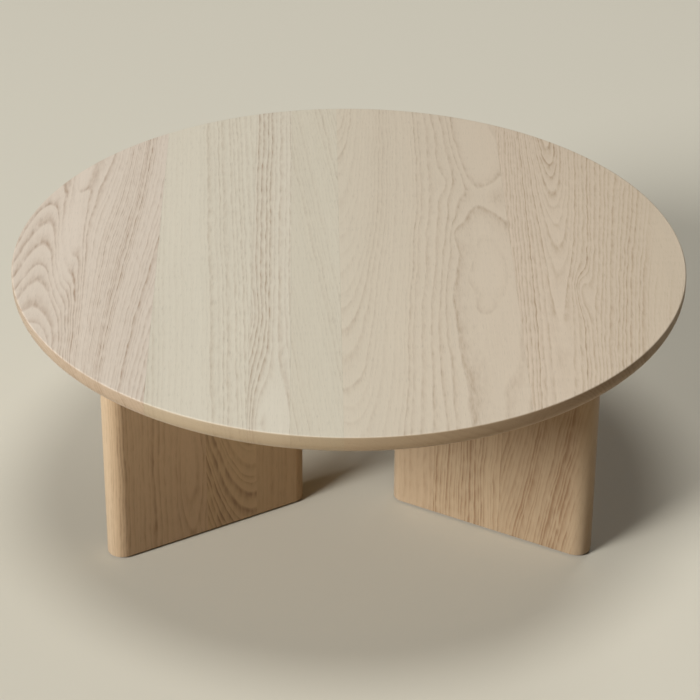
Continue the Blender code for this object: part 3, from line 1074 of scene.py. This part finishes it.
# Each board's late wood is partly its plank's own tone and partly painted shade: the boards grow darker from
# left to right, away from the window light, and the fifth and sixth boards are darker still to make up for
# the sheen of the lamp behind.
TOP_LATE_WOOD_AND_PAINTED_SHADE = [
    (0.690, 0.594, 0.488),
    (0.638, 0.584, 0.468),
    (0.640, 0.584, 0.470),
    (0.607, 0.550, 0.432),
    (0.600, 0.528, 0.410),
    (0.598, 0.494, 0.375),
]
TOP_EARLY_WOOD = [
    (0.400, 0.290, 0.205),
    (0.430, 0.340, 0.240),
    (0.390, 0.290, 0.200),
    (0.430, 0.340, 0.240),
    (0.400, 0.300, 0.205),
    (0.380, 0.275, 0.175),
]
TOP_EDGE_TINT = (0.72, 0.67, 0.60)

no_turn = (0.0, 0.0, 0.0)
top_shift = (0.0, 0.0, -table_top)
for piece, figure, late_with_painted_shading, early in zip(top_pieces, TOP_FIGURES, TOP_LATE_WOOD_AND_PAINTED_SHADE, TOP_EARLY_WOOD):
    material = ash_material(piece.name, no_turn, top_shift, figure, late_with_painted_shading, early, TOP_EDGE_TINT)
    give_material(piece, material)
print(len(TOP_FIGURES), "top boards have their grain")

# %% [markdown]
# ## The figure of the slabs
#
# The boards of a slab stand upright, so their own length is the height of the table. For their
# grain, the scene is turned so that across runs outwards along the slab and along runs upwards.
# The left slab has a plain inner board, wide arcs on the middle one and a faint swirl on the outer
# one. The right slab has close upright lines, which slant on the outer board and fade out on its
# round end. The rear slab is out of sight in the photograph, so its figure is a quiet one. Every
# board is a plank of its own, with its own late wood, which on the left and right slabs also
# carries painted light and shade. The slabs' round ends take a paler, cooler tint: painted light.

# %% Give the slab boards their grain
LEG_FIGURES = {
    "left": [
        dict(pith=(0.050, 0.080), taper=0.020, ring=0.0075, waver=0.006, seed=63.0, contrast=0.45),
        dict(pith=(0.178, 0.140), taper=-0.200, ring=0.0042, waver=0.010, seed=71.0, contrast=2.40),
        dict(
            pith=(0.285, 0.120), taper=0.020, ring=0.0045, waver=0.022, seed=83.0, contrast=1.50,
            swells=[(0.288, 0.170, 0.028, 0.120, -0.008)],
            plain=[(0.290, 0.180, 0.014, 0.080)],
        ),
    ],
    "right": [
        dict(pith=(0.000, 0.050), taper=0.020, ring=0.0100, waver=0.020, seed=95.0, contrast=2.40),
        dict(
            pith=(0.050, 0.050), taper=0.010, ring=0.0052, waver=0.014, seed=101.0, contrast=2.70,
            swells=[
                (0.223, 0.230, 0.020, 0.060, 0.006),
                (0.190, 0.130, 0.022, 0.045, -0.004),
                (0.250, 0.090, 0.022, 0.050, 0.004),
            ],
        ),
        dict(
            pith=(0.100, 0.050), taper=0.020, lean=0.160, ring=0.0055, waver=0.028, seed=113.0, contrast=2.40,
            plain=[(0.335, 0.280, 0.018, 0.070), (0.420, 0.180, 0.030, 0.400)],
        ),
    ],
    "rear": [
        dict(pith=(0.040, 0.070), taper=0.030, ring=0.0100, waver=0.010, seed=127.0, contrast=0.60),
        dict(pith=(0.215, 0.070), taper=0.150, ring=0.0055, waver=0.012, seed=131.0, contrast=0.80),
        dict(pith=(0.420, 0.060), taper=0.030, ring=0.0060, waver=0.012, seed=149.0, contrast=0.80),
    ],
}
# On the left and right slabs the late wood also carries painted light and shade: the right slab, whose sides
# lie in shade, is darker than the rear slab, and the left slab is warmer, with lighter middle and outer
# boards, to light the shaded face that looks away from the window.
LEG_LATE_WOOD_WITH_PAINTED_LIGHT_AND_SHADE = {
    "left": [(0.515, 0.370, 0.215), (0.562, 0.410, 0.238), (0.549, 0.399, 0.247)],
    "right": [(0.482, 0.362, 0.234), (0.490, 0.372, 0.239), (0.450, 0.337, 0.214)],
    "rear": [(0.540, 0.398, 0.257), (0.532, 0.396, 0.254), (0.508, 0.376, 0.242)],
}
LEG_EARLY_WOOD = (0.300, 0.190, 0.105)
# Paler and cooler than the faces: painted light on the slabs' round ends, as from the window on the lit end.
LEG_END_PAINTED_LIGHT = (1.03, 1.08, 1.14)


def leg_turn(side):
    """Turns the scene so that a slab runs along X and its height along Y."""
    flat = Matrix.Rotation(-math.pi / 2, 3, "X")
    level = Matrix.Rotation(-math.radians(LEG_AZIMUTHS[side]), 3, "Z")
    return tuple((flat @ level).to_euler())


no_shift = (0.0, 0.0, 0.0)
for side, pieces in leg_pieces.items():
    turn = leg_turn(side)
    for piece, figure, late_with_painted_shading in zip(pieces, LEG_FIGURES[side], LEG_LATE_WOOD_WITH_PAINTED_LIGHT_AND_SHADE[side]):
        material = ash_material(piece.name, turn, no_shift, figure, late_with_painted_shading, LEG_EARLY_WOOD, LEG_END_PAINTED_LIGHT)
        give_material(piece, material)
print(sum(len(figures) for figures in LEG_FIGURES.values()), "slab boards have their grain")

# %% [markdown]
# ## Steel and nylon
#
# The fittings are small and mostly out of sight, but their surfaces still differ. The plates are
# powder coated, which leaves a fine orange-peel skin. The bolts are blackened by a chemical bath,
# so the steel shows through a little. The inserts and the long screws are zinc plated, with the
# cloudy spangle of thin zinc. The glides are moulded in brown nylon. One group makes a fine speckle
# of the right size for each, and lets it steer colour, sheen and relief together.

# %% The fittings' finishes
SPECKLE_RANGE = (0.3, 0.7)

speckle_inputs = {"Place": "Vector", "Dark": "Color", "Light": "Color"}
speckle_inputs |= dict.fromkeys(("Fineness", "Smoothest", "Roughest"), "Float")
speckle, given, result = new_group("speckle", speckle_inputs, SURFACE)
inputs = {"Vector": given["Place"], "Scale": given["Fineness"], "Detail": FINE_NOISE}
grains = add_node(speckle, "ShaderNodeTexNoise", inputs).outputs["Fac"]
spread = change_range(speckle, grains, *SPECKLE_RANGE, 0.0, 1.0)
speckle.links.new(mix_colours(speckle, spread, given["Dark"], given["Light"]), result["Colour"])
rough = change_range(speckle, spread, 0.0, 1.0, given["Smoothest"], given["Roughest"])
speckle.links.new(rough, result["Roughness"])
speckle.links.new(grains, result["Height"])

FINISHES = {
    "powder_coat": dict(
        pieces=["plate"], fineness=700.0, dark=(0.016, 0.016, 0.016), light=(0.030, 0.029, 0.028),
        roughness=(0.42, 0.60), metallic=0.0, relief=0.00006,
    ),
    "black_oxide": dict(
        pieces=["bolt"], fineness=1400.0, dark=(0.022, 0.022, 0.024), light=(0.060, 0.057, 0.054),
        roughness=(0.30, 0.48), metallic=1.0, relief=0.00001,
    ),
    "zinc": dict(
        pieces=["insert", "screw"], fineness=900.0, dark=(0.46, 0.47, 0.49), light=(0.66, 0.65, 0.62),
        roughness=(0.22, 0.40), metallic=1.0, relief=0.00001,
    ),
    "brown_nylon": dict(
        pieces=["glide"], fineness=1100.0, dark=(0.085, 0.050, 0.030), light=(0.120, 0.074, 0.046),
        roughness=(0.40, 0.58), metallic=0.0, relief=0.00002,
    ),
}


def speckle_material(name, finish):
    material, tree, shader = new_material(name)
    inputs = {
        "Place": add_node(tree, "ShaderNodeTexCoord").outputs["Object"],
        "Fineness": finish["fineness"],
        "Dark": (*finish["dark"], 1.0),
        "Light": (*finish["light"], 1.0),
        "Smoothest": finish["roughness"][0],
        "Roughest": finish["roughness"][1],
    }
    connect(tree, shader, add_group(tree, speckle, inputs), finish["relief"])
    shader.inputs["Metallic"].default_value = finish["metallic"]
    return material


for kind in ("insert", "screw"):
    fittings[kind] = [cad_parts[node] for side in LEG_AZIMUTHS for node in nodes_of(side, kind)]
for name, finish in FINISHES.items():
    material = speckle_material(name, finish)
    pieces = [piece for kind in finish["pieces"] for piece in fittings[kind]]
    for piece in pieces:
        give_material(piece, material)
    print(name, "on", len(pieces), "pieces")

# %% [markdown]
# ## The floor
#
# A plain pale floor carries the table and shows its shadow. It is a single square, large enough to
# fill the picture from any side, and it is no part of the table.
#
# A pale floor throws so much light back up that the shaded sides of the table would turn flat and
# grey. A darker floor would cure that, but it would look wrong. So the floor has two colours: what
# is seen directly, in a reflection or through glass is pale, and what lights other surfaces is
# darker and warmer. The Light Path node tells the two apart.

# %% Lay the floor
FLOOR_SIZE = 60.0
FLOOR_COLOUR = (0.61, 0.575, 0.475)
BOUNCE_COLOUR = (0.42, 0.31, 0.19)
FLOOR_ROUGHNESS = 0.8

floor_shape = bmesh.new()
bmesh.ops.create_grid(floor_shape, x_segments=1, y_segments=1, size=FLOOR_SIZE / 2)
floor = add_object("floor", floor_shape)
floor_material, tree, shader = new_material("floor")
rays = add_node(tree, "ShaderNodeLightPath").outputs
seen = work_out(tree, "MAXIMUM", rays["Is Camera Ray"], rays["Is Glossy Ray"])
seen = work_out(tree, "MAXIMUM", seen, rays["Is Transmission Ray"])
colour = mix_colours(tree, seen, (*BOUNCE_COLOUR, 1.0), (*FLOOR_COLOUR, 1.0))
tree.links.new(colour, shader.inputs["Base Color"])
shader.inputs["Roughness"].default_value = FLOOR_ROUGHNESS
give_material(floor, floor_material)
print("floor", FLOOR_SIZE, "m square")

# %% [markdown]
# ## The light
#
# The main light is low and comes from the left and a little from the front, as from a window, so the
# slab ends catch it and the table throws a long shadow. A wide lamp overhead lights the top evenly, a
# weak one behind shows the far sides, and a faint, warm world fills the shade. A lamp close by would
# leave a pool of light on the floor, so the lamps are large and far away. Each one is given by the
# light that it brings to a surface square to it, and its power is worked out from its distance.

# %% Hang the lamps
LAMPS = {
    "window": dict(azimuth=218.0, elevation=26.0, distance=16.0, size=5.8, light=3.60),
    "overhead": dict(azimuth=0.0, elevation=90.0, distance=12.0, size=4.6, light=1.25),
    "behind": dict(azimuth=65.0, elevation=38.0, distance=12.0, size=4.6, light=0.60),
}
LAMP_AIM = Vector((0.0, 0.0, 0.3))
FILL_COLOUR = (1.0, 0.86, 0.66)
FILL_STRENGTH = 0.03


def add_lamp(name, azimuth, elevation, distance, size, light):
    """A round lamp that faces the table. Light is what it brings to a surface square to it."""
    turn = math.radians(azimuth)
    rise = math.radians(elevation)
    direction = Vector((math.cos(turn) * math.cos(rise), math.sin(turn) * math.cos(rise), math.sin(rise)))
    lamp_data = bpy.data.lights.new(name, "AREA")
    lamp_data.shape = "DISK"
    lamp_data.size = size
    lamp_data.energy = light * math.pi * distance**2
    lamp = add_to_scene(name, lamp_data)
    lamp.location = LAMP_AIM + direction * distance
    lamp.rotation_mode = "QUATERNION"
    lamp.rotation_quaternion = (-direction).to_track_quat("-Z", "Y")
    print(name, "lamp", round(lamp_data.energy), "W")


for name, lamp in LAMPS.items():
    add_lamp(name, **lamp)

world = bpy.data.worlds.new("studio")
world.use_nodes = True
background = world.node_tree.nodes["Background"]
background.inputs["Color"].default_value = (*FILL_COLOUR, 1.0)
background.inputs["Strength"].default_value = FILL_STRENGTH
bpy.context.scene.world = world
bpy.context.scene.view_settings.view_transform = "Standard"
